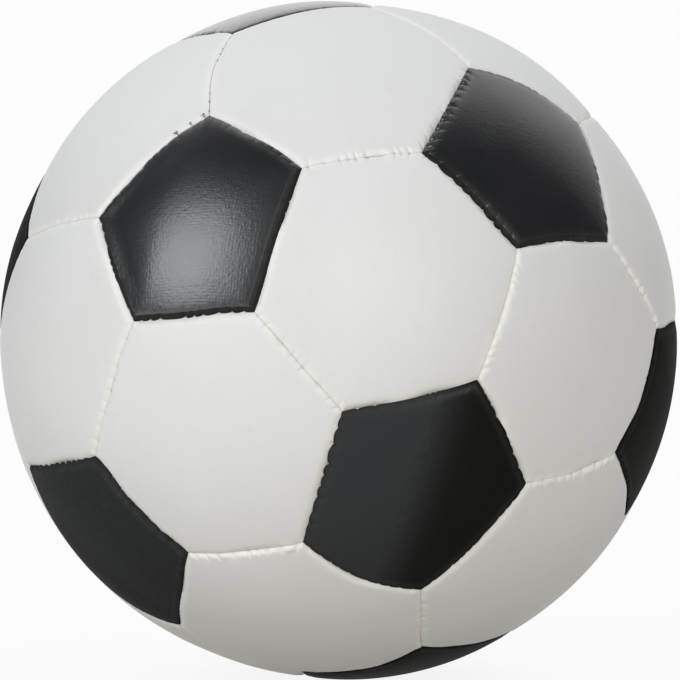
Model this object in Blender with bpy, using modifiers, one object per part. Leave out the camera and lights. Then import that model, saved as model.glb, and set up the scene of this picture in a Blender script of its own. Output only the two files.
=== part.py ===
"""A soft soccer ball: black and white vinyl panels hand-sewn over a foam core.

The seams follow a truncated icosahedron, with twelve pentagons and twenty hexagons. Each panel is a vinyl
shell whose edge rolls over and turns in along its seams. The foam core has channels for those turned-in
edges, and the sewing thread lies between the rolled shoulders. The ball's centre is the origin, and it rests
on a small flat.
"""
import math

import bmesh
import bpy
from mathutils import Matrix, Vector

# Driving sizes, in metres
BALL_DIAMETER = 0.150
PANEL_CROWN = 0.0004        # how far a panel's middle stands above its seams
VINYL_THICKNESS = 0.0010
SEAM_ALLOWANCE = 0.0050     # how deep a panel's edge is turned in
EDGE_ROLL = 0.0020          # width of the rounded shoulder beside a seam
SEAM_GAP = 0.0008           # between the turned-in edges of two neighbours
THREAD_THICKNESS = 0.0007
THREAD_CLEARANCE = 0.0003   # between the thread and the shoulders, and between two thread ends
FOAM_CLEARANCE = 0.0006     # between the foam and the cover
REST_FLAT_DEPTH = 0.0005    # how far the ball's own weight flattens it

# How the ball lies, in degrees: turned about its upright pole, then tipped
TURN_ABOUT_POLE = 29.0
TIP_SIDEWAYS = -10.3
TIP_FORWARD = -3.3

# Where hand sewing left each black panel: metres east and north on the ball, and its turn in degrees
PENTAGON_DRIFT = {
    "black_pentagon_01": (-0.0018, -0.0009, 1.4),
    "black_pentagon_04": (0.0017, -0.0029, -1.5),
    "black_pentagon_05": (0.0023, -0.0003, -0.3),
    "black_pentagon_06": (-0.0012, -0.0004, -1.9),
    "black_pentagon_09": (0.0005, -0.0004, 1.2),
    "black_pentagon_10": (-0.0011, 0.0003, 1.2),
    "black_pentagon_11": (-0.0045, 0.0055, 4.0),
    "black_pentagon_12": (-0.0020, 0.0020, 0.0),
}

# Corners that were sewn off their place, by the three panels that meet there: metres east and north
CORNER_NUDGE = {
    ("black_pentagon_01", "white_hexagon_03", "white_hexagon_04"): (-0.0014, 0.0010),
    ("black_pentagon_01", "white_hexagon_04", "white_hexagon_05"): (0.0028, 0.0043),
    ("black_pentagon_04", "white_hexagon_08", "white_hexagon_13"): (-0.0050, 0.0035),
    ("black_pentagon_05", "white_hexagon_03", "white_hexagon_04"): (0.0004, 0.0014),
    ("black_pentagon_05", "white_hexagon_03", "white_hexagon_08"): (0.0004, -0.0016),
    ("black_pentagon_05", "white_hexagon_04", "white_hexagon_09"): (-0.0004, 0.0030),
    ("black_pentagon_05", "white_hexagon_08", "white_hexagon_14"): (-0.0005, 0.0014),
    ("black_pentagon_05", "white_hexagon_09", "white_hexagon_14"): (-0.0013, -0.0009),
    ("black_pentagon_06", "white_hexagon_04", "white_hexagon_05"): (0.0026, 0.0012),
    ("black_pentagon_06", "white_hexagon_04", "white_hexagon_09"): (-0.0005, -0.0004),
    ("black_pentagon_06", "white_hexagon_05", "white_hexagon_10"): (0.0018, 0.0005),
    ("black_pentagon_06", "white_hexagon_09", "white_hexagon_15"): (0.0012, 0.0016),
    ("black_pentagon_06", "white_hexagon_10", "white_hexagon_15"): (-0.0002, -0.0004),
    ("black_pentagon_09", "white_hexagon_08", "white_hexagon_13"): (-0.0093, -0.0024),
    ("black_pentagon_09", "white_hexagon_08", "white_hexagon_14"): (-0.0007, -0.0011),
    ("black_pentagon_09", "white_hexagon_13", "white_hexagon_18"): (-0.0044, -0.0009),
    ("black_pentagon_09", "white_hexagon_14", "white_hexagon_19"): (-0.0006, 0.0001),
    ("black_pentagon_09", "white_hexagon_18", "white_hexagon_19"): (-0.0034, -0.0015),
    ("black_pentagon_10", "white_hexagon_09", "white_hexagon_14"): (0.0010, -0.0003),
    ("black_pentagon_10", "white_hexagon_09", "white_hexagon_15"): (0.0010, 0.0006),
    ("black_pentagon_10", "white_hexagon_14", "white_hexagon_19"): (-0.0014, -0.0021),
    ("black_pentagon_10", "white_hexagon_15", "white_hexagon_20"): (-0.0005, 0.0017),
    ("black_pentagon_10", "white_hexagon_19", "white_hexagon_20"): (-0.0007, -0.0016),
    ("black_pentagon_11", "white_hexagon_10", "white_hexagon_11"): (-0.0002, -0.0015),
    ("black_pentagon_11", "white_hexagon_10", "white_hexagon_15"): (0.0023, -0.0005),
    ("black_pentagon_11", "white_hexagon_15", "white_hexagon_20"): (-0.0020, 0.0008),
    ("black_pentagon_11", "white_hexagon_16", "white_hexagon_20"): (0.0011, 0.0013),
    ("black_pentagon_12", "white_hexagon_19", "white_hexagon_20"): (-0.0007, 0.0015),
}

# The two half covers are sewn first, then joined round a zigzag, and closed where three panels meet
THREADS = ("first_half_thread", "second_half_thread", "joining_thread", "closing_thread")
FIRST_HALF_POLE = "black_pentagon_10"
CLOSING_CORNER = {"black_pentagon_05", "white_hexagon_03", "white_hexagon_04"}

# Facets
EDGE_SEGMENTS = 3
ROLL_SEGMENTS = 2
FOAM_SEGMENTS = 2
SMOOTH_ANGLE = math.radians(40)

# Worked out from the sizes above
BALL_RADIUS = BALL_DIAMETER / 2
SEAM_RADIUS = BALL_RADIUS - PANEL_CROWN
TURNED_EDGE_RADIUS = SEAM_RADIUS - SEAM_ALLOWANCE
FOAM_RADIUS = BALL_RADIUS - VINYL_THICKNESS - FOAM_CLEARANCE
FOAM_SHOULDER_RADIUS = SEAM_RADIUS - max(EDGE_ROLL, VINYL_THICKNESS) - FOAM_CLEARANCE
CHANNEL_RADIUS = TURNED_EDGE_RADIUS - FOAM_CLEARANCE
CHANNEL_HALF_WIDTH = SEAM_GAP / 2 + VINYL_THICKNESS + FOAM_CLEARANCE
LOWER_SHOULDER_SLOPE = math.tan(math.radians(90 / ROLL_SEGMENTS / 2))
THREAD_BED_HALF_WIDTH = THREAD_THICKNESS / 2 + THREAD_CLEARANCE
THREAD_BED_DEPTH = EDGE_ROLL - (THREAD_BED_HALF_WIDTH - SEAM_GAP / 2) / LOWER_SHOULDER_SLOPE
THREAD_RADIUS = SEAM_RADIUS - THREAD_BED_DEPTH + THREAD_THICKNESS
THREAD_END_GAP = THREAD_THICKNESS + THREAD_CLEARANCE
FLOOR_LEVEL = REST_FLAT_DEPTH - BALL_RADIUS

# Colour, roughness and metallic value
FINISHES = {
    "white_vinyl": ((0.74, 0.73, 0.70), 0.42, 0.0),
    "black_vinyl": ((0.018, 0.019, 0.021), 0.38, 0.0),
    "sewing_thread": ((0.78, 0.76, 0.70), 0.90, 0.0),
    "foam": ((0.86, 0.80, 0.58), 0.95, 0.0),
}


def clear_scene():
    for old in list(bpy.data.objects):
        bpy.data.objects.remove(old, do_unlink=True)


def new_collection(name):
    collection = bpy.data.collections.new(name)
    bpy.context.scene.collection.children.link(collection)
    return collection


def make_material(name):
    colour, roughness, metallic = FINISHES[name]
    material = bpy.data.materials.new(name)
    material.use_nodes = True
    shader = material.node_tree.nodes["Principled BSDF"]
    shader.inputs["Base Color"].default_value = (*colour, 1.0)
    shader.inputs["Roughness"].default_value = roughness
    shader.inputs["Metallic"].default_value = metallic
    return material


def add_object(name, shape, material, centre, assembly):
    """Turns a bmesh modelled about the ball's centre into an object whose origin is at its own centre."""
    bmesh.ops.translate(shape, verts=shape.verts[:], vec=-centre)
    mesh = bpy.data.meshes.new(name)
    shape.to_mesh(mesh)
    shape.free()
    mesh.shade_smooth()
    mesh.set_sharp_from_angle(angle=SMOOTH_ANGLE)
    mesh.materials.append(material)
    piece = bpy.data.objects.new(name, mesh)
    piece.location = centre
    piece.parent = assembly["centre"]
    assembly["collection"].objects.link(piece)
    return piece


def add_thickness(piece, thickness):
    """Gives an open skin its thickness, on the inside."""
    shell = piece.modifiers.new("thickness", "SOLIDIFY")
    shell.thickness = thickness
    shell.offset = -1.0
    shell.use_even_offset = True


def push_to_radius(verts, radius):
    for vert in verts:
        vert.co = vert.co.normalized() * radius


# The seams

def truncated_icosahedron(radius):
    """An icosahedron with a third of each edge cut off at both ends."""
    cage = bmesh.new()
    bmesh.ops.create_icosphere(cage, subdivisions=1, radius=radius)
    corners = cage.verts[:]
    bmesh.ops.bevel(cage, geom=corners, offset=100 / 3, offset_type="PERCENT", affect="VERTICES", segments=1)
    push_to_radius(cage.verts, radius)
    return cage


def name_panels(cage):
    """Numbers the panels from the upper pole down and round it, in the order of the cage's faces."""
    between_panels = math.pi / 10

    def ring_place(face):
        middle = face.calc_center_median().normalized()
        height = round(middle.z, 3)
        angle = (math.atan2(middle.y, middle.x) + between_panels) % (2 * math.pi)
        return -height, angle

    ordered = sorted(cage.faces, key=ring_place)
    blacks = [face for face in ordered if len(face.verts) == 5]
    whites = [face for face in ordered if len(face.verts) == 6]
    names = {face.index: f"black_pentagon_{number:02d}" for number, face in enumerate(blacks, 1)}
    names.update({face.index: f"white_hexagon_{number:02d}" for number, face in enumerate(whites, 1)})
    return [names[index] for index in range(len(names))]


def lay_as_in_use(cage):
    """Turns the ball about its pole and tips it, as it lies."""
    turn = Matrix.Rotation(math.radians(TURN_ABOUT_POLE), 3, "Z")
    sideways = Matrix.Rotation(math.radians(TIP_SIDEWAYS), 3, "Y")
    forward = Matrix.Rotation(math.radians(TIP_FORWARD), 3, "X")
    bmesh.ops.rotate(cage, verts=cage.verts[:], matrix=forward @ sideways @ turn)


def shift_on_ball(place, east_shift, north_shift):
    """A move along the ball's surface at a place on it."""
    outward = place.normalized()
    east = Vector((0, 0, 1)).cross(outward).normalized()
    north = outward.cross(east)
    return east * east_shift + north * north_shift


def drift_pentagons(cage, names):
    """Moves each black panel's corners as the hand sewing did."""
    for face in cage.faces:
        if names[face.index] not in PENTAGON_DRIFT:
            continue
        east_shift, north_shift, turn = PENTAGON_DRIFT[names[face.index]]
        middle = face.calc_center_median()
        shift = shift_on_ball(middle, east_shift, north_shift)
        spin = Matrix.Rotation(math.radians(turn), 3, middle.normalized())
        for vert in face.verts:
            vert.co = spin @ vert.co + shift
    push_to_radius(cage.verts, SEAM_RADIUS)


def nudge_corners(cage, names):
    """Moves single corners as the hand sewing did."""
    for vert in cage.verts:
        meeting = tuple(sorted(names[face.index] for face in vert.link_faces))
        if meeting in CORNER_NUDGE:
            vert.co += shift_on_ball(vert.co, *CORNER_NUDGE[meeting])
    push_to_radius(cage.verts, SEAM_RADIUS)


def build_cage():
    """The ball's seams as a mesh, with the panels' names."""
    cage = truncated_icosahedron(SEAM_RADIUS)
    cage.faces.index_update()
    names = name_panels(cage)
    lay_as_in_use(cage)
    drift_pentagons(cage, names)
    nudge_corners(cage, names)
    cage.edges.index_update()
    cage.normal_update()
    return cage, names


def sort_seams(cage, names):
    """Which thread sews each seam, as sets of the cage's edge numbers."""
    pole = next(face for face in cage.faces if names[face.index] == FIRST_HALF_POLE).calc_center_median()
    threads = {name: set() for name in THREADS}
    for edge in cage.edges:
        sides = [face.calc_center_median().dot(pole) > 0 for face in edge.link_faces]
        ends = [{names[face.index] for face in vert.link_faces} for vert in edge.verts]
        if all(sides):
            threads["first_half_thread"].add(edge.index)
        elif not any(sides):
            threads["second_half_thread"].add(edge.index)
        elif CLOSING_CORNER in ends:
            threads["closing_thread"].add(edge.index)
        else:
            threads["joining_thread"].add(edge.index)
    return threads


# The pieces

def panel_skin(cage, index):
    """One panel's outer skin: a crowned cap, a rolled shoulder and the edge turned in along its seams."""
    skin = cage.copy()
    skin.faces.ensure_lookup_table()
    panel = skin.faces[index]
    bmesh.ops.delete(skin, geom=[face for face in skin.faces if face != panel], context="FACES")
    margin = bmesh.ops.inset_individual(skin, faces=[panel], thickness=SEAM_GAP / 2, use_even_offset=True)
    bmesh.ops.delete(skin, geom=margin["faces"], context="FACES")
    bmesh.ops.poke(skin, faces=[panel])
    bmesh.ops.subdivide_edges(skin, edges=skin.edges[:], cuts=EDGE_SEGMENTS - 1, use_grid_fill=True)
    push_to_radius([vert for vert in skin.verts if not vert.is_boundary], BALL_RADIUS)
    push_to_radius([vert for vert in skin.verts if vert.is_boundary], SEAM_RADIUS)
    rim = [edge for edge in skin.edges if edge.is_boundary]
    turned_in = bmesh.ops.extrude_edge_only(skin, edges=rim)["geom"]
    push_to_radius([vert for vert in turned_in if isinstance(vert, bmesh.types.BMVert)], TURNED_EDGE_RADIUS)
    bmesh.ops.recalc_face_normals(skin, faces=skin.faces[:])
    bmesh.ops.bevel(skin, geom=rim, offset=EDGE_ROLL, segments=ROLL_SEGMENTS, profile=0.5, affect="EDGES")
    return skin


def add_panel(cage, names, index, materials, assembly):
    name = names[index]
    material = materials["black_vinyl" if name.startswith("black") else "white_vinyl"]
    middle = cage.faces[index].calc_center_median().normalized() * BALL_RADIUS
    panel = add_object(name, panel_skin(cage, index), material, middle, assembly)
    add_thickness(panel, VINYL_THICKNESS)
    return panel


def lengthwise_edges(shape, corners):
    """The edges along the seams and within the panels, without those from a seam's corner to its margin."""
    return [edge for edge in shape.edges if (edge.verts[0] in corners) == (edge.verts[1] in corners)]


def add_foam_core(cage, materials, assembly):
    """A ball of foam with a channel under every seam."""
    foam = cage.copy()
    corners = set(foam.verts)
    pads = foam.faces[:]
    bmesh.ops.inset_individual(foam, faces=pads, thickness=CHANNEL_HALF_WIDTH, use_even_offset=True)
    bmesh.ops.poke(foam, faces=pads)
    lengthwise = lengthwise_edges(foam, corners)
    bmesh.ops.subdivide_edges(foam, edges=lengthwise, cuts=FOAM_SEGMENTS - 1, use_grid_fill=True)
    push_to_radius(foam.verts, CHANNEL_RADIUS)
    pads = [face for face in foam.faces if len(face.verts) == 3]
    raised = bmesh.ops.extrude_face_region(foam, geom=pads)["geom"]
    bmesh.ops.delete(foam, geom=pads, context="FACES")
    raised_verts = [element for element in raised if isinstance(element, bmesh.types.BMVert)]
    push_to_radius(raised_verts, FOAM_RADIUS)
    shoulders = [vert for vert in raised_verts if any(len(face.verts) == 4 for face in vert.link_faces)]
    push_to_radius(shoulders, FOAM_SHOULDER_RADIUS)
    bmesh.ops.recalc_face_normals(foam, faces=foam.faces[:])
    add_object("foam_core", foam, materials["foam"], Vector((0, 0, 0)), assembly)


def add_thread(cage, name, seams, materials, assembly):
    """One length of thread along its seams, drawn back a little where another thread takes over."""
    strips = cage.copy()
    strips.edges.ensure_lookup_table()
    corners = set(strips.verts)
    sewn = [strips.edges[index] for index in seams]
    half_thread = THREAD_THICKNESS / 2
    bmesh.ops.inset_individual(strips, faces=strips.faces[:], thickness=half_thread, use_even_offset=True)
    kept = {face for seam in sewn for face in seam.link_faces}
    bmesh.ops.delete(strips, geom=[face for face in strips.faces if face not in kept], context="FACES")
    for seam in sewn:
        for end in seam.verts:
            if sum(edge in sewn for edge in end.link_edges) == 1:
                draw_back_end(seam, end)
    bmesh.ops.subdivide_edges(strips, edges=lengthwise_edges(strips, corners), cuts=EDGE_SEGMENTS - 1)
    push_to_radius(strips.verts, THREAD_RADIUS)
    thread = add_object(name, strips, materials["sewing_thread"], Vector((0, 0, 0)), assembly)
    add_thickness(thread, THREAD_THICKNESS)


def draw_back_end(seam, end):
    along = (seam.other_vert(end).co - end.co).normalized()
    for edge in list(end.link_edges):
        if edge != seam:
            edge.other_vert(end).co += along * THREAD_END_GAP
    end.co += along * THREAD_END_GAP


def add_rest_flat(panels):
    """Cuts the panels level where the ball's weight presses them on the ground."""
    bpy.ops.mesh.primitive_cube_add(size=BALL_DIAMETER, location=(0, 0, FLOOR_LEVEL - BALL_RADIUS))
    ground = bpy.context.object
    ground.name = "ground_cutter"
    ground.hide_render = True
    ground.display_type = "WIRE"
    for collection in list(ground.users_collection):
        collection.objects.unlink(ground)
    new_collection("cutters").objects.link(ground)
    for panel in panels:
        lowest = min((panel.location + vert.co).z for vert in panel.data.vertices)
        if lowest < FLOOR_LEVEL:
            cut = panel.modifiers.new("rest_flat", "BOOLEAN")
            cut.operation = "DIFFERENCE"
            cut.solver = "EXACT"
            cut.object = ground


def main():
    clear_scene()
    collection = new_collection("soft_soccer_ball")
    centre = bpy.data.objects.new("ball_centre", None)
    collection.objects.link(centre)
    assembly = {"collection": collection, "centre": centre}
    materials = {name: make_material(name) for name in FINISHES}
    cage, names = build_cage()
    cage.faces.ensure_lookup_table()
    add_foam_core(cage, materials, assembly)
    panels = [add_panel(cage, names, index, materials, assembly) for index in range(len(names))]
    for name, seams in sort_seams(cage, names).items():
        add_thread(cage, name, sorted(seams), materials, assembly)
    add_rest_flat(panels)
    cage.free()


main()
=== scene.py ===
"""The looks of a soft foam soccer ball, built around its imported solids.

Every panel is rebuilt as a closed vinyl skin: a crowned face, a rolled edge pulled in at each stitch, and
the edge turned in along the seam. The sewing thread runs in the seams, and the foam ball fills the cover.
"""
import math

import bmesh
import bpy
import numpy as np
from mathutils import Matrix, Vector


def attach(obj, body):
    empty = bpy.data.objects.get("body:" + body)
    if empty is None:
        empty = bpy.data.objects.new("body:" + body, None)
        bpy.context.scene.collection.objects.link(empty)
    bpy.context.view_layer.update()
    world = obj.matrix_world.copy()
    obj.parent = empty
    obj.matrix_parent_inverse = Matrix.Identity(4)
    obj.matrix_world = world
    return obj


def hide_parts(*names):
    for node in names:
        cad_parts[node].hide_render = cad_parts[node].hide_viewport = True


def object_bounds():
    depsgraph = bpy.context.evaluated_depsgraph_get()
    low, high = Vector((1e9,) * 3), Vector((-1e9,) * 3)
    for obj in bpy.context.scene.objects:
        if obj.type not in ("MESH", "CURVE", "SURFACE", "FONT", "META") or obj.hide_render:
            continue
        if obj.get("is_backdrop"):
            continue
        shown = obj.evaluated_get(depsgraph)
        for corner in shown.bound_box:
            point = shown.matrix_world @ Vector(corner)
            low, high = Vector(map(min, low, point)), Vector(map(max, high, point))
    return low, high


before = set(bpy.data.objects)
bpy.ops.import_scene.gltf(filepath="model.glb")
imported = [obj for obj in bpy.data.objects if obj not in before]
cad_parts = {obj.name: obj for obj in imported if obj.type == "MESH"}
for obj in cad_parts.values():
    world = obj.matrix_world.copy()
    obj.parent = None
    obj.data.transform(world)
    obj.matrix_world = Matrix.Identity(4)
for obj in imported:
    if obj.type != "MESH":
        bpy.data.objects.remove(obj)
cad_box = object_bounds()

# The part's own sizes, in metres, and its lie, in degrees
BALL_DIAMETER = 0.150
PANEL_CROWN = 0.0004
VINYL_THICKNESS = 0.0010
SEAM_ALLOWANCE = 0.0050
EDGE_ROLL = 0.0020
SEAM_GAP = 0.0008
FOAM_CLEARANCE = 0.0006
REST_FLAT_DEPTH = 0.0005
TURN_ABOUT_POLE = 29.0
TIP_SIDEWAYS = -10.3
TIP_FORWARD = -3.3
PENTAGON_DRIFT = {
    "black_pentagon_01": (-0.0018, -0.0009, 1.4),
    "black_pentagon_04": (0.0017, -0.0029, -1.5),
    "black_pentagon_05": (0.0023, -0.0003, -0.3),
    "black_pentagon_06": (-0.0012, -0.0004, -1.9),
    "black_pentagon_09": (0.0005, -0.0004, 1.2),
    "black_pentagon_10": (-0.0011, 0.0003, 1.2),
    "black_pentagon_11": (-0.0045, 0.0055, 4.0),
    "black_pentagon_12": (-0.0020, 0.0020, 0.0),
}
CORNER_NUDGE = {
    ("black_pentagon_01", "white_hexagon_03", "white_hexagon_04"): (-0.0014, 0.0010),
    ("black_pentagon_01", "white_hexagon_04", "white_hexagon_05"): (0.0028, 0.0043),
    ("black_pentagon_04", "white_hexagon_08", "white_hexagon_13"): (-0.0050, 0.0035),
    ("black_pentagon_05", "white_hexagon_03", "white_hexagon_04"): (0.0004, 0.0014),
    ("black_pentagon_05", "white_hexagon_03", "white_hexagon_08"): (0.0004, -0.0016),
    ("black_pentagon_05", "white_hexagon_04", "white_hexagon_09"): (-0.0004, 0.0030),
    ("black_pentagon_05", "white_hexagon_08", "white_hexagon_14"): (-0.0005, 0.0014),
    ("black_pentagon_05", "white_hexagon_09", "white_hexagon_14"): (-0.0013, -0.0009),
    ("black_pentagon_06", "white_hexagon_04", "white_hexagon_05"): (0.0026, 0.0012),
    ("black_pentagon_06", "white_hexagon_04", "white_hexagon_09"): (-0.0005, -0.0004),
    ("black_pentagon_06", "white_hexagon_05", "white_hexagon_10"): (0.0018, 0.0005),
    ("black_pentagon_06", "white_hexagon_09", "white_hexagon_15"): (0.0012, 0.0016),
    ("black_pentagon_06", "white_hexagon_10", "white_hexagon_15"): (-0.0002, -0.0004),
    ("black_pentagon_09", "white_hexagon_08", "white_hexagon_13"): (-0.0093, -0.0024),
    ("black_pentagon_09", "white_hexagon_08", "white_hexagon_14"): (-0.0007, -0.0011),
    ("black_pentagon_09", "white_hexagon_13", "white_hexagon_18"): (-0.0044, -0.0009),
    ("black_pentagon_09", "white_hexagon_14", "white_hexagon_19"): (-0.0006, 0.0001),
    ("black_pentagon_09", "white_hexagon_18", "white_hexagon_19"): (-0.0034, -0.0015),
    ("black_pentagon_10", "white_hexagon_09", "white_hexagon_14"): (0.0010, -0.0003),
    ("black_pentagon_10", "white_hexagon_09", "white_hexagon_15"): (0.0010, 0.0006),
    ("black_pentagon_10", "white_hexagon_14", "white_hexagon_19"): (-0.0014, -0.0021),
    ("black_pentagon_10", "white_hexagon_15", "white_hexagon_20"): (-0.0005, 0.0017),
    ("black_pentagon_10", "white_hexagon_19", "white_hexagon_20"): (-0.0007, -0.0016),
    ("black_pentagon_11", "white_hexagon_10", "white_hexagon_11"): (-0.0002, -0.0015),
    ("black_pentagon_11", "white_hexagon_10", "white_hexagon_15"): (0.0023, -0.0005),
    ("black_pentagon_11", "white_hexagon_15", "white_hexagon_20"): (-0.0020, 0.0008),
    ("black_pentagon_11", "white_hexagon_16", "white_hexagon_20"): (0.0011, 0.0013),
    ("black_pentagon_12", "white_hexagon_19", "white_hexagon_20"): (-0.0007, 0.0015),
}
THREADS = ("first_half_thread", "second_half_thread", "joining_thread", "closing_thread")
FIRST_HALF_POLE = "black_pentagon_10"
CLOSING_CORNER = {"black_pentagon_05", "white_hexagon_03", "white_hexagon_04"}
BALL_RADIUS = BALL_DIAMETER / 2
SEAM_RADIUS = BALL_RADIUS - PANEL_CROWN
FLOOR_LEVEL = REST_FLAT_DEPTH - BALL_RADIUS

# The sewing, in metres
STITCH_PITCH = 0.0031
STITCH_JITTER = 0.16          # of the places of the stitches, as a share of their pitch
JITTER_WAVES = 4
JITTER_FIRST_WAVE = 3
SEAM_WANDER = 0.00022         # how far a seam wavers from a straight line
WANDER_WAVES = np.array((1, 2, 3))
SLACK_SPREAD = 0.25           # of the depth of the folded edges, as a share of the usual depth
SLACK_WAVES = 5
SLACK_LIMITS = (0.4, 1.6)
FOLD_GAP = 0.000015           # from the seam's line to each folded edge
CLOSING_GAP = 0.00006         # the same where the cover was closed by hand
HOLE_HALF_LENGTH = 0.00032
HOLE_PULL_LIMIT = 1.3         # the hardest pull that still widens a hole
EDGE_DEPTH = {"black": 0.00080, "white": 0.00048}    # from the panel's face down to its folded edge
EDGE_WIDTH = {"black": 0.0019, "white": 0.0018}
CREASE_DEPTH = {"black": 0.00012, "white": 0.00002}  # inside the doubled strip that is turned in
CREASE_SPREAD = (0.2, 1.2)    # of the usual crease
CREASE_INSET = 0.0016
CREASE_WIDTH = 0.0006
PULL_DEPTH = 0.00026          # how far a stitch pulls the folded edge in
PULL_SPREAD = (0.4, 1.3)      # from stitch to stitch
PULL_RADIUS = 0.00040
PULL_REACH = 0.0011
PUCKER_HEIGHT = 0.00010       # of the lumps between the stitches
PUCKER_INSET = 0.0006
PUCKER_REACH = 0.0008
NOTCH_DEPTH = 1.7             # between two lumps, as a share of their height
NOTCH_WIDTH = 0.0006
DIRT_AND_SHADE_WIDTH = 0.00045          # of the dirt and painted shade that darken a seam's fold
DIRT_AND_SHADE_ALONG = 0.55             # the share of it that lies all along the seam
DIRT_AND_SHADE_AT_STITCH = 0.45         # and the share at the stitches, a painted shadow of their holes
RIM_WIDTH = 0.0011            # of the creamier white and the browner black along a folded edge, both partly painted highlight
CREST_INSET = 0.0013          # of the wear and painted sheen on a black edge
CREST_WIDTH = 0.0006
WEAR_AND_SHEEN_BREAK = 0.3              # how much of that wear and sheen is missing at each stitch
WEAR_AND_SHEEN_BREAK_WIDTH = 2 * PULL_RADIUS
HAIR = 0.000001               # keeps two equal lengths from being told apart
BULGE_SPREAD = (0.3, 1.2)     # from seam to seam, of the usual bulge
BULGE_SIZES = (0.5, 1.35)     # from stitch to stitch
BULGE_REACH = 0.0030
BULGE_ROUNDNESS = 0.8
BULGE_SKEW = 0.85
BULGE_MIDDLE = 0.6
THREAD_RADIUS = 0.00015
THREAD_DEPTH = 0.00150        # where it runs behind the folded edges
THREAD_RISE_WIDTH = 0.00040
THREAD_BED = 0.00030          # from the seam's line to the turned-in vinyl beside the thread
THREAD_CORNER_GAP = 0.00055
PLY_PITCH = 0.0011
PLY_DEPTH = 0.2

# What a seam's settings say. Lengths are in metres, and 1 is the usual amount of the others:
# bow: how far it bows away from the first panel named
# bulge: how far it swings between two stitches, away from the black panel
# pull: how hard its stitches are drawn
# hole_width: half the width of the hole that a stitch pulls open
# rise: how far its thread rises at each stitch
# crease: how deep a crease its turned-in edge leaves
# lumps: how high the edge of the first panel named is puffed up between the stitches
# lip and tuck: how deep its white edge and its black edge roll in
# fresh: how clean and creamy its white edge is, brightened as a painted highlight
# dirt: how much dirt and painted shade darken its fold
# wear_and_sheen: how far its black edge is worn to grey, with a painted sheen on the crests between its
# stitches
# edging: how wide a dull strip a polished panel keeps along it
# gathers_fade and wear_and_sheen_fade: the third panel at the corner where its bulges or its wear and
# painted sheen fade out
SEAM_USUAL = dict(bow=0.0, crease=1.0, tuck=1.0, wear_and_sheen=0.25, edging=0.0, gathers_fade=None, wear_and_sheen_fade=None)
SEAM_KINDS = {
    "mixed": dict(
        bulge=0.00022, pull=0.35, hole_width=0.00013, rise=0.00040, lumps=0.2, lip=1.4, fresh=0.4,
        dirt=0.15),
    "white": dict(
        bulge=0.00008, pull=0.40, hole_width=0.00011, rise=0.00100, lumps=0.5, lip=0.9, fresh=0.5,
        dirt=0.50),
}
SEAM_SETTINGS = {
    ("black_pentagon_05", "white_hexagon_03"): dict(bulge=0.00012, crease=0.2),
    ("black_pentagon_05", "white_hexagon_04"): dict(bulge=0.00008, crease=0.6, wear_and_sheen=0.7),
    ("black_pentagon_05", "white_hexagon_08"): dict(crease=0.2, fresh=0.6, edging=0.0012),
    ("black_pentagon_05", "white_hexagon_09"): dict(bulge=0.00008, crease=0.8, wear_and_sheen=0.5, edging=0.0016),
    ("black_pentagon_05", "white_hexagon_14"): dict(
        bulge=0.00035, pull=0.8, crease=0.3, fresh=0.7, edging=0.0012),
    ("black_pentagon_06", "white_hexagon_04"): dict(pull=1.6, lumps=1.6, wear_and_sheen=0.6),
    ("black_pentagon_06", "white_hexagon_05"): dict(bow=0.0014),
    ("black_pentagon_06", "white_hexagon_09"): dict(
        bulge=0.00065, pull=0.8, crease=1.0, lumps=0.8, wear_and_sheen=0.8, edging=0.0009,
        wear_and_sheen_fade="white_hexagon_04"),
    ("white_hexagon_15", "black_pentagon_06"): dict(bow=0.0006, edging=0.0012),
    ("black_pentagon_09", "white_hexagon_08"): dict(bulge=0.00055, pull=0.8, lumps=0.8, wear_and_sheen=0.3),
    ("black_pentagon_09", "white_hexagon_13"): dict(bow=0.0025),
    ("black_pentagon_09", "white_hexagon_14"): dict(bulge=0.00045, pull=0.8, wear_and_sheen=0.4),
    ("black_pentagon_09", "white_hexagon_18"): dict(bow=0.0030),
    ("black_pentagon_10", "white_hexagon_09"): dict(
        bulge=0.00010, crease=1.8, wear_and_sheen=1.4, wear_and_sheen_fade="white_hexagon_14"),
    ("black_pentagon_10", "white_hexagon_14"): dict(
        bulge=0.00075, pull=0.8, lumps=0.8, fresh=0.7, wear_and_sheen=0.2, gathers_fade="white_hexagon_19"),
    ("black_pentagon_10", "white_hexagon_19"): dict(
        bow=0.0020, bulge=0.00010, lip=1.7, tuck=0.4, fresh=1.0),
    ("black_pentagon_10", "white_hexagon_20"): dict(bulge=0.00010, lip=1.7, tuck=0.4, fresh=1.0),
    ("white_hexagon_19", "black_pentagon_12"): dict(bow=0.0028),
    ("white_hexagon_04", "white_hexagon_03"): dict(bow=0.0012, pull=0.3),
    ("white_hexagon_04", "white_hexagon_09"): dict(pull=1.1),
    ("white_hexagon_09", "white_hexagon_14"): dict(pull=0.9),
    ("white_hexagon_10", "white_hexagon_15"): dict(pull=0.1, lumps=2.6, fresh=1.0),
    ("white_hexagon_15", "white_hexagon_09"): dict(pull=0.1, lumps=2.4, fresh=1.0),
    ("white_hexagon_19", "white_hexagon_14"): dict(pull=0.1, lumps=2.6, fresh=1.0),
    ("white_hexagon_19", "white_hexagon_18"): dict(bow=0.0045, pull=0.1, lip=0.3),
    ("white_hexagon_20", "white_hexagon_15"): dict(pull=0.1, lumps=2.4, fresh=1.0),
}
FADED_GATHERS = 0.2
FADED_WEAR_AND_SHEEN = 0.0
# Soft folds across a panel: which way from its middle (degrees from east), how far, and the slope beyond
PANEL_FOLD = {
    "black_pentagon_05": (176.0, 0.0072, 0.06),
}
FOLD_SOFTNESS = 0.0008
FOLD_FADE = 0.0040            # how far inside the seam a fold begins
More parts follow.
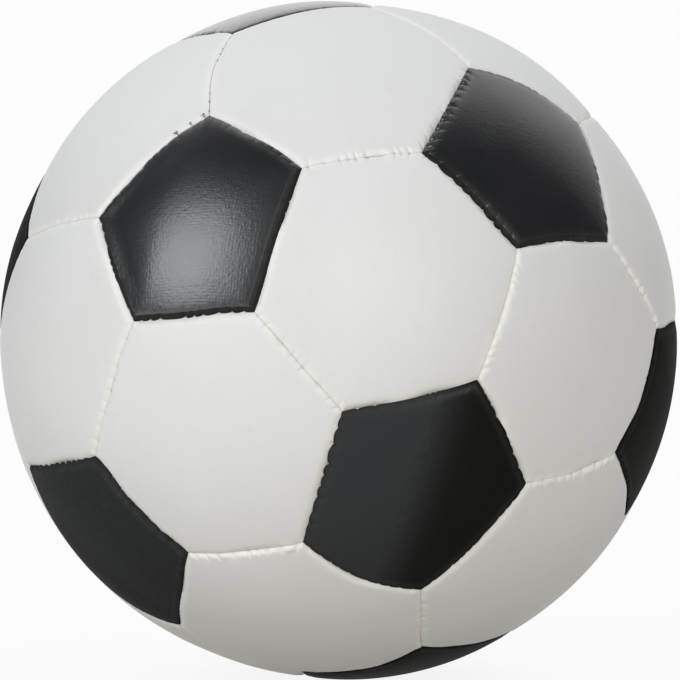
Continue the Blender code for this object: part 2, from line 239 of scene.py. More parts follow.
# Panels with dust and a painted sheen, lighter towards one side: towards which side (degrees from east),
# how far past the middle, and how much
PANEL_DUST_AND_SHEEN = {
    "black_pentagon_10": (168.0, 0.0005, 1.3),
    "black_pentagon_09": (40.0, 0.0060, 0.75),
    "black_pentagon_02": (300.0, 0.0020, 0.8),
    "black_pentagon_07": (200.0, 0.0, 0.7),
}
DUST_AND_SHEEN_SOFTNESS = 0.0022
# Tufts of the closing thread: how far along the seam from the closing corner, and their lengths
TUFT_SEAM = {"black_pentagon_05", "white_hexagon_03"}
TUFTS = ((0.03, 0.0010), (0.13, 0.0007), (0.24, 0.0016))
TUFT_STRANDS = 8
TUFT_SPREAD = 0.7             # of the strands to both sides, in radians
TUFT_SHARES = (0.5, 1.0)      # of the tuft's length, from strand to strand
TUFT_LIFTS = (0.0004, 0.0009)
TUFT_ARCH = 0.7               # below 1, a strand stands highest near its root
TUFT_RADIUS = 0.00005
TUFT_STEPS = 9

# The unevenness of hand-cut foam
UNEVEN_HEIGHT = 0.00025
UNEVEN_WAVES = 24
UNEVEN_LENGTHS = (0.030, 0.070)
# Where the foam has settled: which way (right, away, up), by how much, and how far round, in metres
SETTLED = (
    ((-0.40, 0.03, -0.92), -0.0009, 0.026),
    ((-0.97, 0.15, -0.18), -0.0005, 0.026),
    ((-0.90, 0.25, 0.35), -0.0005, 0.022),
    ((0.96, 0.05, -0.27), -0.0005, 0.024),
)

# The turned-in edge and the back of a panel, which aren't seen
BED_DEPTH = 1.3 * VINYL_THICKNESS
FLANGE_INSET = 1.5 * VINYL_THICKNESS
FLANGE_DEPTH = 2.4 * VINYL_THICKNESS
BACK_INSET = 2.6 * VINYL_THICKNESS
BACK_DEPTH = 0.8 * VINYL_THICKNESS
BACK_SPAN = 0.6               # of the way from the seam to the middle

# Facets
SEAM_STEPS = 120              # along each seam, for the stitches
COARSE_STEP = 4               # seam steps to one step of a panel's middle
RIM_INSETS = (
    0.0, 0.00006, 0.00015, 0.00028, 0.00045, 0.00065, 0.0009, 0.0012, 0.0016, 0.0021, 0.0028)
MIDDLE_ROWS = 14
THREAD_STEP = 0.00016
THREAD_SIDES = 6
FOAM_SEGMENTS = 6
FOAM_ROUGHNESS = 0.00012
FOAM_ORDER = Vector((0.9, 0.4, 0.17))   # a way along which no two points lie equally far
FOAM_SHARP_ANGLE = math.radians(40)
# How far to both sides values that change at a corner are blurred, in seam steps
CORNER_BLUR = {
    "crease": SEAM_STEPS // 6,
    "half_gap": SEAM_STEPS // 20,
    "roll": SEAM_STEPS // 20,
    "wear_and_sheen": SEAM_STEPS // 12,
    "lumps": SEAM_STEPS // 40,
    "fresh": SEAM_STEPS // 20,
}
LEAN_BLUR = SEAM_STEPS // 30
LEAST_LEAN = 0.6
SEAM_SEED = 100
PANEL_SEED = 500
FOAM_SEED = 9
CLOTH_STEP = np.array((0.41, 0.23, 0.0))   # keeps the panels' cloth apart, in metres
CLOTH_WAY = (0.1, 1, 0)       # across which the warp runs before each panel's own turn

# The photograph's frame, in pixels of a square image, and the long lens that took it
IMAGE_SIZE = 680
BALL_CENTRE_PIXEL = (338.5, 340.4)
BALL_RADIUS_PIXELS = 340.4
CAMERA_ELEVATION = math.radians(5)
CAMERA_DISTANCE = 30 * BALL_RADIUS
CAMERA_REACH = 100


def unit(vectors):
    return vectors / np.linalg.norm(vectors, axis=-1, keepdims=True)


def hump(distance, width):
    return np.exp(-(distance / width) ** 2)


# The seams, laid out as in the part's source

def push_to_radius(verts, radius):
    for vert in verts:
        vert.co = vert.co.normalized() * radius


def truncated_icosahedron(radius):
    cage = bmesh.new()
    bmesh.ops.create_icosphere(cage, subdivisions=1, radius=radius)
    third = 100 / 3
    bmesh.ops.bevel(
        cage, geom=cage.verts[:], offset=third, offset_type="PERCENT", affect="VERTICES", segments=1)
    push_to_radius(cage.verts, radius)
    return cage


def name_panels(cage):
    between_panels = math.pi / 10

    def ring_place(face):
        middle = face.calc_center_median().normalized()
        height = round(middle.z, 3)
        angle = (math.atan2(middle.y, middle.x) + between_panels) % (2 * math.pi)
        return -height, angle

    ordered = sorted(cage.faces, key=ring_place)
    names = {}
    for kind, corners in (("black_pentagon", 5), ("white_hexagon", 6)):
        faces = [face for face in ordered if len(face.verts) == corners]
        names.update({face.index: f"{kind}_{number:02d}" for number, face in enumerate(faces, 1)})
    return [names[index] for index in range(len(names))]


def lay_as_in_use(cage):
    turn = Matrix.Rotation(math.radians(TURN_ABOUT_POLE), 3, "Z")
    sideways = Matrix.Rotation(math.radians(TIP_SIDEWAYS), 3, "Y")
    forward = Matrix.Rotation(math.radians(TIP_FORWARD), 3, "X")
    bmesh.ops.rotate(cage, verts=cage.verts[:], matrix=forward @ sideways @ turn)


def shift_on_ball(place, east_shift, north_shift):
    outward = place.normalized()
    east = Vector((0, 0, 1)).cross(outward).normalized()
    north = outward.cross(east)
    return east * east_shift + north * north_shift


def drift_pentagons(cage, names):
    for face in cage.faces:
        if names[face.index] not in PENTAGON_DRIFT:
            continue
        east_shift, north_shift, turn = PENTAGON_DRIFT[names[face.index]]
        middle = face.calc_center_median()
        shift = shift_on_ball(middle, east_shift, north_shift)
        spin = Matrix.Rotation(math.radians(turn), 3, middle.normalized())
        for vert in face.verts:
            vert.co = spin @ vert.co + shift
    push_to_radius(cage.verts, SEAM_RADIUS)


def nudge_corners(cage, names):
    for vert in cage.verts:
        meeting = tuple(sorted(names[face.index] for face in vert.link_faces))
        if meeting in CORNER_NUDGE:
            vert.co += shift_on_ball(vert.co, *CORNER_NUDGE[meeting])
    push_to_radius(cage.verts, SEAM_RADIUS)


def build_cage():
    cage = truncated_icosahedron(SEAM_RADIUS)
    cage.faces.index_update()
    names = name_panels(cage)
    lay_as_in_use(cage)
    drift_pentagons(cage, names)
    nudge_corners(cage, names)
    cage.verts.index_update()
    cage.edges.index_update()
    cage.normal_update()
    return cage, names


def thread_of_seam(edge, names, pole):
    sides = [face.calc_center_median().dot(pole) > 0 for face in edge.link_faces]
    ends = [{names[face.index] for face in vert.link_faces} for vert in edge.verts]
    if all(sides):
        return "first_half_thread"
    if not any(sides):
        return "second_half_thread"
    if CLOSING_CORNER in ends:
        return "closing_thread"
    return "joining_thread"


class Seam:
    """One sewn seam: a line on the ball with one panel on its left and one on its right."""

    def __init__(self, number, start, end, panels, corner_panels, thread):
        chance = np.random.default_rng(SEAM_SEED + number)
        left, right = panels
        self.start = start
        self.end = end
        self.thread = thread
        self.panels = {left, right}
        self.starts_closed = CLOSING_CORNER == corner_panels[0]
        self.side = unit(np.cross(start, end))
        self.angle = math.acos(start @ end)
        self.length = self.angle * SEAM_RADIUS
        self.stitches = round(self.length / STITCH_PITCH)
        self.wander = chance.normal(0, SEAM_WANDER, len(WANDER_WAVES)) / WANDER_WAVES
        self.jitter = chance.normal(0, STITCH_JITTER, JITTER_WAVES)
        self.slack = chance.normal(0, SLACK_SPREAD, SLACK_WAVES)
        self.bulge_sizes = chance.uniform(*BULGE_SIZES, self.stitches + 2)
        usual = {**SEAM_USUAL, **SEAM_KINDS["mixed" if "black" in left + right else "white"]}
        usual["bulge"] *= chance.uniform(*BULGE_SPREAD)
        usual["crease"] *= chance.uniform(*CREASE_SPREAD)
        left_is_first = (left, right) in SEAM_SETTINGS
        own = SEAM_SETTINGS.get((left, right) if left_is_first else (right, left), {})
        settings = {**usual, **own}
        settings["half_gap"] = CLOSING_GAP if thread == "closing_thread" else FOLD_GAP
        self.settings = settings
        self.pulls = chance.uniform(*PULL_SPREAD, self.stitches + 2) * settings["pull"]
        # A bulge is away from the black panel, and the seam counts towards its left
        sign = -1 if left.startswith("black") else 1
        self.away_from_black = sign * self.side
        self.bulge = sign * settings["bulge"]
        self.bow = -settings["bow"] if left_is_first else settings["bow"]
        lumps = [settings["lumps"], usual["lumps"]]
        self.lumps = lumps if left_is_first else lumps[::-1]
        self.rolls = [settings["tuck" if panel.startswith("black") else "lip"] for panel in panels]
        self.gathers = self.fading(1.0, FADED_GATHERS, settings["gathers_fade"], corner_panels)
        self.wear_and_sheen = self.fading(settings["wear_and_sheen"], FADED_WEAR_AND_SHEEN, settings["wear_and_sheen_fade"], corner_panels)

    @staticmethod
    def fading(full, faded, panel, corner_panels):
        """An amount at the seam's two ends, faded where this panel meets it."""
        return [faded if panel in corner else full for corner in corner_panels]

    @staticmethod
    def waves(sizes, along, first):
        """A sum of waves that all vanish at both ends."""
        return sum(size * np.sin((first + number) * math.pi * along) for number, size in enumerate(sizes))

    def line(self, along):
        """Directions along the seam, which goes from 0 to 1."""
        back = np.sin((1 - along) * self.angle)[:, None] * self.start
        ahead = np.sin(along * self.angle)[:, None] * self.end
        sideways = self.bow * np.sin(math.pi * along) + self.waves(self.wander, along, 1)
        return unit((back + ahead) / math.sin(self.angle) + np.outer(sideways / SEAM_RADIUS, self.side))

    def cells(self, along):
        """Stitch places, which are at the whole numbers."""
        cells = along * self.stitches + 0.5 + self.waves(self.jitter, along, JITTER_FIRST_WAVE)
        return np.clip(cells, 0.5, self.stitches + 0.5)

    def bulges(self, along):
        """How far the seam swings towards its left panel between two stitches."""
        cells = self.cells(along)
        before = np.floor(cells).astype(int)
        between = cells - before
        shape = np.sin(math.pi * between ** BULGE_SKEW) ** BULGE_ROUNDNESS - BULGE_MIDDLE
        from_end = np.minimum(along, 1 - along) * self.stitches
        fade = np.interp(along, (0, 1), self.gathers)
        return self.bulge * self.bulge_sizes[before] * shape * fade * np.clip(from_end, 0, 1)

    def stitch_distance(self, along):
        cells = self.cells(along)
        return np.abs(cells - np.round(cells)) * self.length / self.stitches

    def stitch_pull(self, along):
        return self.pulls[np.round(self.cells(along)).astype(int)]

    def edge_slack(self, along):
        """How deep the folded edges lie along the seam, where 1 is usual."""
        return np.clip(1 + self.waves(self.slack, along, 1), *SLACK_LIMITS)


def lay_out():
    """The ball's seams, and for each panel its sides as (seam, whether it runs the panel's way round)."""
    cage, names = build_cage()
    pole = next(face for face in cage.faces if names[face.index] == FIRST_HALF_POLE).calc_center_median()
    seams = {}
    panels = {}
    for face in cage.faces:
        sides = []
        for loop in face.loops:
            edge = loop.edge
            is_new = edge.index not in seams
            if is_new:
                corners = (loop.vert, loop.link_loop_next.vert)
                ends = [unit(np.array(corner.co)) for corner in corners]
                meeting = [{names[near.index] for near in corner.link_faces} for corner in corners]
                sewn = (names[face.index], names[loop.link_loop_radial_next.face.index])
                thread = thread_of_seam(edge, names, pole)
                seams[edge.index] = Seam(edge.index, *ends, sewn, meeting, thread)
            sides.append((seams[edge.index], is_new))
        panels[names[face.index]] = sides
    return cage, list(seams.values()), panels


def uneven_field():
    """A smooth bumpy height over all directions, as a function."""
    chance = np.random.default_rng(FOAM_SEED)
    ways = unit(chance.normal(size=(UNEVEN_WAVES, 3)))
    lengths = chance.uniform(*UNEVEN_LENGTHS, UNEVEN_WAVES)
    turns = 2 * math.pi * BALL_RADIUS / lengths
    phases = chance.uniform(0, 2 * math.pi, UNEVEN_WAVES)
    size = UNEVEN_HEIGHT / math.sqrt(UNEVEN_WAVES / 2) / 2

    def height(directions):
        total = size * np.sin(directions @ (ways * turns[:, None]).T + phases).sum(axis=-1)
        for way, amount, reach in SETTLED:
            away = np.linalg.norm(directions - unit(np.array(way)), axis=-1) * BALL_RADIUS
            total = total + amount * hump(away, reach)
        return total

    return height


uneven = uneven_field()


# The panels

class Outline:
    """What varies round a panel's edge, one value for each step along its seams."""

    def __init__(self, sides):
        along = np.arange(SEAM_STEPS) / SEAM_STEPS
        stretches = []
        for seam, forward in sides:
            place = along if forward else 1 - along
            sign = 1 if forward else -1
            side = 0 if forward else 1
            stretch = {
                "line": seam.line(place),
                "inward": np.tile(seam.side * sign, (SEAM_STEPS, 1)),
                "bulge": seam.bulges(place) * sign,
                "stitch": seam.stitch_distance(place),
                "pull": seam.stitch_pull(place),
                "slack": seam.edge_slack(place),
                "roll": np.full(SEAM_STEPS, seam.rolls[side]),
                "wear_and_sheen": np.interp(place, (0, 1), seam.wear_and_sheen),
                "lumps": seam.bulge_sizes[np.floor(seam.cells(place)).astype(int)] * seam.lumps[side],
            }
            for name in ("crease", "half_gap", "hole_width", "dirt", "fresh", "edging"):
                stretch[name] = np.full(SEAM_STEPS, seam.settings[name])
            stretches.append(stretch)
        for name in stretches[0]:
            values = np.concatenate([stretch[name] for stretch in stretches])
            setattr(self, name, self.blur(values, CORNER_BLUR.get(name, 0)))
        pull = np.clip(self.pull, 0, HOLE_PULL_LIMIT)
        self.hole = self.hole_width * pull * hump(self.stitch, HOLE_HALF_LENGTH)
        corners = [seam.start if forward else seam.end for seam, forward in sides]
        self.centre = unit(np.mean(corners, axis=0))
        reach = self.line @ self.centre
        self.span = np.arccos(reach)
        self.to_centre = unit(self.centre - reach[:, None] * self.line)
        lean = np.clip((self.to_centre * self.inward).sum(axis=1), LEAST_LEAN, 1)
        self.lean = self.blur(lean, LEAN_BLUR)

    @staticmethod
    def blur(values, reach):
        shifted = [np.roll(values, shift, axis=0) for shift in range(-reach, reach + 1)]
        return np.mean(shifted, axis=0)

    def ray(self, inset):
        """The angle from the seam towards the panel's centre at this distance inside the folded edge."""
        return (inset + self.half_gap) / (SEAM_RADIUS * self.lean)

    def points(self, ray):
        """Directions at these angles from the seam, and how far inside the folded edge they are."""
        inset = ray * SEAM_RADIUS * self.lean - self.half_gap
        directions = np.cos(ray)[:, None] * self.line + np.sin(ray)[:, None] * self.to_centre
        swing = (self.bulge + self.hole) * np.clip(1 - inset / BULGE_REACH, 0, 1) ** 2
        return unit(directions + swing[:, None] / SEAM_RADIUS * self.inward), inset


def panel_way(centre, heading):
    """A direction across the ball from a panel's middle, in degrees from east towards north."""
    east = unit(np.cross((0, 0, 1), centre))
    north = np.cross(centre, east)
    return east * math.cos(math.radians(heading)) + north * math.sin(math.radians(heading))


def fold_drop(name, centre, directions, inset):
    """How far a soft fold lets part of the panel down."""
    if name not in PANEL_FOLD:
        return 0.0
    heading, distance, slope = PANEL_FOLD[name]
    beyond = directions @ panel_way(centre, heading) * BALL_RADIUS - distance
    drop = slope * FOLD_SOFTNESS * np.logaddexp(0, beyond / FOLD_SOFTNESS)
    return drop * np.clip(inset / FOLD_FADE, 0, 1)


def dust_and_sheen_share(name, centre, points):
    """How much dust and painted sheen each point of a panel has."""
    if name not in PANEL_DUST_AND_SHEEN:
        return np.zeros(len(points))
    heading, reach, amount = PANEL_DUST_AND_SHEEN[name]
    return amount / (1 + np.exp(-(points @ panel_way(centre, heading) + reach) / DUST_AND_SHEEN_SOFTNESS))


def skin_heights(name, outline, ray, inset, directions):
    """How high the panel's face stands above the ball's seams."""
    colour = name.split("_")[0]
    share = np.clip(ray / outline.span, 0, 1)
    crown = PANEL_CROWN * (1 - (1 - share) ** 2)
    fold = np.clip(1 - inset / EDGE_WIDTH[colour], 0, 1)
    profile = 1 - np.sqrt(1 - fold ** 2) if colour == "black" else fold ** 2
    roll = EDGE_DEPTH[colour] * outline.slack * outline.roll * profile
    crease = CREASE_DEPTH[colour] * outline.crease * hump(inset - CREASE_INSET, CREASE_WIDTH)
    pull = PULL_DEPTH * outline.pull * hump(outline.stitch, PULL_RADIUS) * hump(inset, PULL_REACH)
    between = 1 - NOTCH_DEPTH * hump(outline.stitch, NOTCH_WIDTH)
    pucker = PUCKER_HEIGHT * outline.lumps * between * hump(inset - PUCKER_INSET, PUCKER_REACH)
    drop = fold_drop(name, outline.centre, directions, inset)
    return crown - roll - crease - pull + pucker - drop + uneven(directions)


def thin_out(values, fine):
    return values if fine else values[::COARSE_STEP]


class PanelShape:
    """The vertices and faces of one panel, gathered ring by ring from the middle out and back inside."""

    def __init__(self, name, outline):
        self.name = name
        self.outline = outline
        self.points = []
        self.rims = []
        self.folds = []
        self.faces = []
        self.inset = math.inf
        self.edging_faces = []
        self.count = 0
        self.last = None

    def add_ring(self, directions, radii, inset, fine):
        directions = thin_out(directions, fine)
        radii = thin_out(radii, fine)
        self.points.append(directions * radii[:, None])
        within = np.clip(inset, 0, None)
        self.rims.append(thin_out(self.outline.fresh * hump(within, RIM_WIDTH), fine))
        self.folds.append(thin_out(self.fold_marks(within), fine))
        ring = list(range(self.count, self.count + len(radii)))
        self.count += len(radii)
        if self.last is not None:
            self.join(self.last, ring)
        self.last = ring

    def fold_marks(self, within):
        """Dirt and painted shade in the folds of white panels, and wear with a painted sheen between the
        stitches on the edges of black ones.
        """
        outline = self.outline
        if self.name.startswith("white"):
            at_stitch = hump(outline.stitch, DIRT_AND_SHADE_WIDTH)
            return outline.dirt * hump(within, DIRT_AND_SHADE_WIDTH) * (DIRT_AND_SHADE_ALONG + DIRT_AND_SHADE_AT_STITCH * at_stitch)
        between = 1 - WEAR_AND_SHEEN_BREAK * hump(outline.stitch, WEAR_AND_SHEEN_BREAK_WIDTH)
        return outline.wear_and_sheen * between * hump(within - CREST_INSET, CREST_WIDTH)

    def join(self, inner, outer):
        """Faces between two rings, one of which may have more steps."""
        steps = min(len(inner), len(outer))
        for step in range(steps):
            near, far = [self.stretch(ring, step, len(ring) // steps) for ring in (inner, outer)]
            self.faces.append(far + near[::-1])
            place = step * len(self.outline.edging) // steps
            self.edging_faces.append(self.inset < self.outline.edging[place] - HAIR)

    @staticmethod
    def stretch(ring, step, share):
        return [ring[place % len(ring)] for place in range(step * share, (step + 1) * share + 1)]

    def add_middle(self, radius):
        centre = self.outline.centre[None]
        self.points.append(centre * (radius + uneven(centre)[0]))
        self.rims.append(np.zeros(1))
        self.folds.append(np.zeros(1))
        self.count += 1
        return self.count - 1

    def face_ring(self, ray, fine):
        directions, inset = self.outline.points(ray)
        heights = skin_heights(self.name, self.outline, ray, inset, directions)
        self.add_ring(directions, SEAM_RADIUS + heights, inset, fine)

    def inner_ring(self, ray, depth, fine=False):
        directions, inset = self.outline.points(ray)
        self.add_ring(directions, SEAM_RADIUS - depth + uneven(directions), inset, fine)

    def cap(self, middle, outward):
        """Faces from the last ring to a middle point."""
        for start, end in zip(self.last, self.last[1:] + self.last[:1]):
            self.faces.append([middle, start, end] if outward else [middle, end, start])
            self.edging_faces.append(False)

    def build(self):
        outline = self.outline
        top = self.add_middle(BALL_RADIUS)
        rim_ray = outline.ray(RIM_INSETS[-1])
        for row in range(MIDDLE_ROWS, 0, -1):
            share = row / (MIDDLE_ROWS + 1)
            self.face_ring(rim_ray + (outline.span - rim_ray) * share, fine=False)
            if row == MIDDLE_ROWS:
                self.cap(top, outward=True)
        for inset in reversed(RIM_INSETS):
            self.inset = inset
            self.face_ring(outline.ray(inset), fine=True)
        bed_ray = outline.ray(THREAD_BED)
        flange_ray = outline.ray(FLANGE_INSET)
        self.inner_ring(bed_ray, BED_DEPTH, fine=True)
        self.inner_ring(bed_ray, SEAM_ALLOWANCE)
        self.inner_ring(flange_ray, SEAM_ALLOWANCE)
        self.inner_ring(flange_ray, FLANGE_DEPTH)
        self.inner_ring(outline.ray(BACK_INSET), BED_DEPTH)
        self.inner_ring(outline.span * BACK_SPAN, BACK_DEPTH)
        bottom = self.add_middle(BALL_RADIUS - VINYL_THICKNESS)
        self.cap(bottom, outward=False)
        points = np.concatenate(self.points)
        points[:, 2] = np.maximum(points[:, 2], FLOOR_LEVEL)
        marks = {
            "rim": np.concatenate(self.rims),
            "fold": np.concatenate(self.folds),
            "dust_and_sheen": dust_and_sheen_share(self.name, outline.centre, points),
        }
        return points, self.faces, marks, self.edging_faces


def place_mesh(mesh, material):
    mesh.shade_smooth()
    mesh.materials.append(material)
    piece = bpy.data.objects.new(mesh.name, mesh)
    bpy.context.scene.collection.objects.link(piece)
    return piece


def place_piece(name, points, faces, material):
    mesh = bpy.data.meshes.new(name)
    mesh.from_pydata(points.tolist(), [], faces)
    return place_mesh(mesh, material)


def cloth_places(points, centre, turn, number):
    """Where each point lies on the panel's own cloth, along its warp and weft, in metres."""
    outward = Vector(centre)
    across = outward.cross(Vector(CLOTH_WAY)).normalized()
    warp = Matrix.Rotation(turn, 3, outward) @ across
    weft = outward.cross(warp)
    axes = np.array((warp, weft, outward))
    return points @ axes.T + number * CLOTH_STEP


def add_panel(number, name, sides, materials):
    colour = name.split("_")[0]
    chance = np.random.default_rng(PANEL_SEED + number)
    outline = Outline(sides)
    points, faces, marks, edging = PanelShape(name, outline).build()
    cloth = cloth_places(points, outline.centre, chance.uniform(0, math.pi), number)
    panel = place_piece(f"panel_{name}", points, faces, materials[PANEL_FINISH.get(name, colour)])
    if name in PANEL_FINISH:
        panel.data.materials.append(materials["edging"])
        panel.data.polygons.foreach_set("material_index", np.array(edging, dtype=np.int32))
    for mark, values in marks.items():
        shares = panel.data.attributes.new(mark, "FLOAT", "POINT")
        shares.data.foreach_set("value", values.astype(np.float32))
    places = panel.data.attributes.new("cloth", "FLOAT_VECTOR", "POINT")
    places.data.foreach_set("vector", cloth.astype(np.float32).ravel())
    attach(panel, "root")
    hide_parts(name)


# The sewing

def tube(path, outward, radius):
    """Vertices and faces of a two-ply thread along a path, closed at both ends."""
    ahead = unit(np.gradient(path, axis=0))
    across = unit(np.cross(ahead, outward))
    upward = np.cross(across, ahead)
    steps = np.linalg.norm(np.diff(path, axis=0), axis=1)
    run = np.concatenate(([0], np.cumsum(steps)))
    angles = np.arange(THREAD_SIDES) / THREAD_SIDES * 2 * math.pi
    twist = 2 * math.pi * run / PLY_PITCH
    sizes = radius * (1 + PLY_DEPTH * np.cos(2 * angles[None] - twist[:, None])) / (1 + PLY_DEPTH)
    rings = (path[:, None]
             + (sizes * np.cos(angles))[..., None] * across[:, None]
             + (sizes * np.sin(angles))[..., None] * upward[:, None])
    rows = len(path)
    index = np.arange(rows * THREAD_SIDES).reshape(rows, THREAD_SIDES)
    after = np.roll(index, -1, axis=1)
    quads = np.stack((index[:-1], index[1:], after[1:], after[:-1]), axis=-1).reshape(-1, 4)
    faces = quads.tolist() + [index[0].tolist(), index[-1][::-1].tolist()]
    return rings.reshape(-1, 3), faces


def stitch_path(seam):
    """The thread's way along a seam: hidden behind the folded edges, and up through each stitch's hole."""
    end = THREAD_CORNER_GAP / seam.length
    along = np.linspace(end, 1 - end, round(seam.length / THREAD_STEP))
    directions = unit(seam.line(along) + np.outer(seam.bulges(along) / SEAM_RADIUS, seam.side))
    rise = seam.settings["rise"] * hump(seam.stitch_distance(along), THREAD_RISE_WIDTH)
    radii = SEAM_RADIUS - THREAD_DEPTH + rise + uneven(directions)
    return directions * radii[:, None], directions


def tuft_paths(seam):
    """Loose ends of thread that stand out of a seam over the white panel beside it."""
    chance = np.random.default_rng(SEAM_SEED)
    share = np.linspace(0, 1, TUFT_STEPS)
    for place, length in TUFTS:
        start = seam.line(np.array([place if seam.starts_closed else 1 - place]))[0]
        along = np.cross(seam.away_from_black, start)
        for strand in range(TUFT_STRANDS):
            lean = chance.uniform(-TUFT_SPREAD, TUFT_SPREAD)
            way = seam.away_from_black * math.cos(lean) + along * math.sin(lean)
            run = length * chance.uniform(*TUFT_SHARES) * share
            directions = unit(start + np.outer(run / SEAM_RADIUS, way))
            lift = chance.uniform(*TUFT_LIFTS) * np.sin(math.pi * share ** TUFT_ARCH)
            radii = SEAM_RADIUS + (share - 1) * EDGE_DEPTH["white"] + lift + uneven(directions)
            yield directions * radii[:, None], directions, TUFT_RADIUS


def thread_paths(seam):
    """Every stretch of thread in a seam, with its way outward and its radius."""
    yield (*stitch_path(seam), THREAD_RADIUS)
    if seam.panels == TUFT_SEAM:
        yield from tuft_paths(seam)


def add_stitches(name, seams, material):
    points = []
    faces = []
    count = 0
    for path, outward, radius in (stretch for seam in seams for stretch in thread_paths(seam)):
        tube_points, tube_faces = tube(path, outward, radius)
        points.append(tube_points)
        faces.extend([[index + count for index in face] for face in tube_faces])
        count += len(tube_points)
    stitches = place_piece(f"stitches_{name}", np.concatenate(points), faces, material)
    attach(stitches, "root")
    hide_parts(name)


# The foam

def add_foam(cage, material):
    """The foam ball, with a channel under every seam for the turned-in edges."""
    channel_radius = SEAM_RADIUS - SEAM_ALLOWANCE - FOAM_CLEARANCE
    channel_half_width = SEAM_GAP / 2 + VINYL_THICKNESS + FOAM_CLEARANCE
    foam = cage.copy()
    corners = set(foam.verts)
    pads = foam.faces[:]
    bmesh.ops.inset_individual(foam, faces=pads, thickness=channel_half_width, use_even_offset=True)
    bmesh.ops.poke(foam, faces=pads)
    lengthwise = [edge for edge in foam.edges if (edge.verts[0] in corners) == (edge.verts[1] in corners)]
    bmesh.ops.subdivide_edges(foam, edges=lengthwise, cuts=FOAM_SEGMENTS - 1, use_grid_fill=True)
    push_to_radius(foam.verts, channel_radius)
    pads = [face for face in foam.faces if len(face.verts) == 3]
    raised = bmesh.ops.extrude_face_region(foam, geom=pads)["geom"]
    bmesh.ops.delete(foam, geom=pads, context="FACES")
    raised_verts = [element for element in raised if isinstance(element, bmesh.types.BMVert)]
    push_to_radius(raised_verts, BALL_RADIUS - VINYL_THICKNESS - FOAM_CLEARANCE)
    shoulders = [vert for vert in raised_verts if any(len(face.verts) == 4 for face in vert.link_faces)]
    push_to_radius(shoulders, SEAM_RADIUS - EDGE_ROLL - FOAM_CLEARANCE)
    bmesh.ops.recalc_face_normals(foam, faces=foam.faces[:])
    # Blender may leave the points in another order each time, and each draw needs the same point
    foam.verts.sort(key=lambda vert: vert.co.dot(FOAM_ORDER))
    foam.faces.sort(key=lambda face: face.calc_center_median().dot(FOAM_ORDER))
    chance = np.random.default_rng(FOAM_SEED + 1)
    directions = unit(np.array([vert.co for vert in foam.verts]))
    shifts = uneven(directions) + chance.uniform(-FOAM_ROUGHNESS, FOAM_ROUGHNESS, len(directions))
    for vert, direction, shift in zip(foam.verts, directions, shifts):
        vert.co += Vector(direction * shift)
    mesh = bpy.data.meshes.new("foam_ball")
    foam.to_mesh(mesh)
    foam.free()
    ball = place_mesh(mesh, material)
    mesh.set_sharp_from_angle(angle=FOAM_SHARP_ANGLE)
    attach(ball, "root")
    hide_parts("foam_core")


# Materials

NOISE_RANGE = (0.3, 0.7)      # in which most of a noise's values lie
VINYL_IOR = 1.58
LACQUER_ROUGHNESS = 0.28
WEAVE_PATCHES = (0.35, 0.65)  # of the noise that lets the warp or the weft stand out
WEAVE_SHARES = {"X": (0.06, 0.30), "Y": (0.26, 0.06)}
WEAVE_MIDDLE = 0.5
# How far each mark shows, from patch to patch
DUST_AND_SHEEN_PATCHES = (0.75, 1.0)
WEAR_AND_SHEEN_PATCHES = (0.45, 0.95)
FRESH_AND_LIT_PATCHES = (0.8, 1.0)
DIRT_AND_SHADE_PATCHES = (0.35, 0.75)
# Where a pattern begins and is full, and how strong it is at both
WHITE_SPECKS = (0.62, 0.80, 0.0, 0.30)
THREAD_FIBRES = (0.35, 0.65, 0.25, 0.0)
FOAM_PORES = (0.0, 0.35, 0.5, 0.0)
BLACK_ROUGHNESS_SPREAD = 0.06
WEAVE_ROUGHNESS = (-0.02, 0.02)
WHITE_ROUGHNESS = (0.42, 0.52)
THREAD_ROUGHNESS = (0.75, 0.92)
PORE_ROUGHNESS = (0.0, 0.6, 0.90, 0.98)
WHITE_SPECULAR = 0.4
THREAD_SPECULAR = 0.3
# dust, with a painted sheen that lightens one side of some black panels
BLACK_DUST_AND_SHEEN = (0.038, 0.040, 0.042, 1)
# a browner black along the edges, with a painted sheen
BLACK_BROWNED_AND_SHEEN = (0.022, 0.019, 0.014, 1)
# wear, and a painted sheen on the crests of black edges
BLACK_WORN_AND_SHEEN = (0.070, 0.073, 0.070, 1)
WHITE_DARKER = (0.745, 0.742, 0.725, 1)
WHITE_LIGHTER = (0.775, 0.772, 0.762, 1)
WHITE_SPECK = (0.66, 0.65, 0.62, 1)
# a creamier white, lightened further as a painted highlight where the edge catches the light
WHITE_FRESH_AND_LIT = (0.92, 0.91, 0.85, 1)
# dirt and painted shade in the folds of white seams and at the stitch holes
WHITE_DIRT_AND_SHADE = (0.58, 0.57, 0.55, 1)
FOAM_DARKER = (0.80, 0.73, 0.50, 1)
FOAM_LIGHTER = (0.88, 0.82, 0.62, 1)
FOAM_CELL = (0.55, 0.48, 0.30, 1)
GLOSSY_BLACK = dict(darker=(0.0045, 0.0052, 0.0060), lighter=(0.0070, 0.0078, 0.0086), specular=1.0)
BLACK_FINISHES = {
    "polished": dict(
        name="polished_black_vinyl", **GLOSSY_BLACK, roughest=0.34, weave_strength=0.08,
        pebble_strength=0.45),
    "shiny": dict(
        name="shiny_black_vinyl", **GLOSSY_BLACK, roughest=0.30, weave_strength=0.04, pebble_strength=0.10,
        lacquer=1.0),
    "black": dict(
        name="dull_black_vinyl", darker=(0.0085, 0.0086, 0.0074), lighter=(0.0110, 0.0111, 0.0098),
        specular=0.02, roughest=0.66, weave_strength=0.06, pebble_strength=0.45),
    "edging": dict(
        name="dull_black_edging", darker=(0.0075, 0.0074, 0.0066), lighter=(0.0100, 0.0098, 0.0088),
        specular=0.15, roughest=0.60, weave_strength=0.05, pebble_strength=0.20),
}
